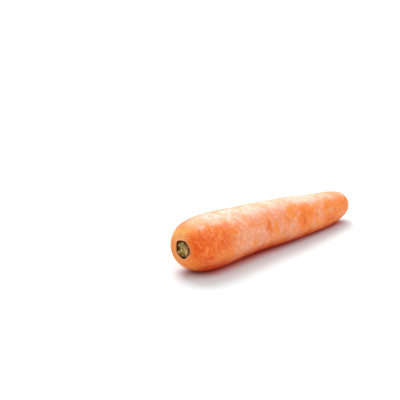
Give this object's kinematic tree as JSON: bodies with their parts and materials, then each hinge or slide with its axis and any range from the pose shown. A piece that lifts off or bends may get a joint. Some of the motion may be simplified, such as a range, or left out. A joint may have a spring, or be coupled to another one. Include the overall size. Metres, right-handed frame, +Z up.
{
  "type": "carrot",
  "caption": "Trimmed whole carrot lying on its side: a tapered orange taproot with a domed crown, a blunt tip and the cut green-brown leaf-stalk bases.",
  "frame": {"origin": "on the surface that the carrot lies on, under the middle of its box", "axes": "+X along the root from the crown to the tip, +Z up"},
  "size_m": [0.1676, 0.0352, 0.0347],
  "materials": {
    "root_skin": "washed carrot skin, soft satin with pale dry scuffs",
    "cut_stalk": "cut and dried leaf stalk, matte"
  },
  "bodies": {
    "root": {"taproot": "root_skin", "leaf_stalk_stubs": "cut_stalk"}
  },
  "joints": []
}
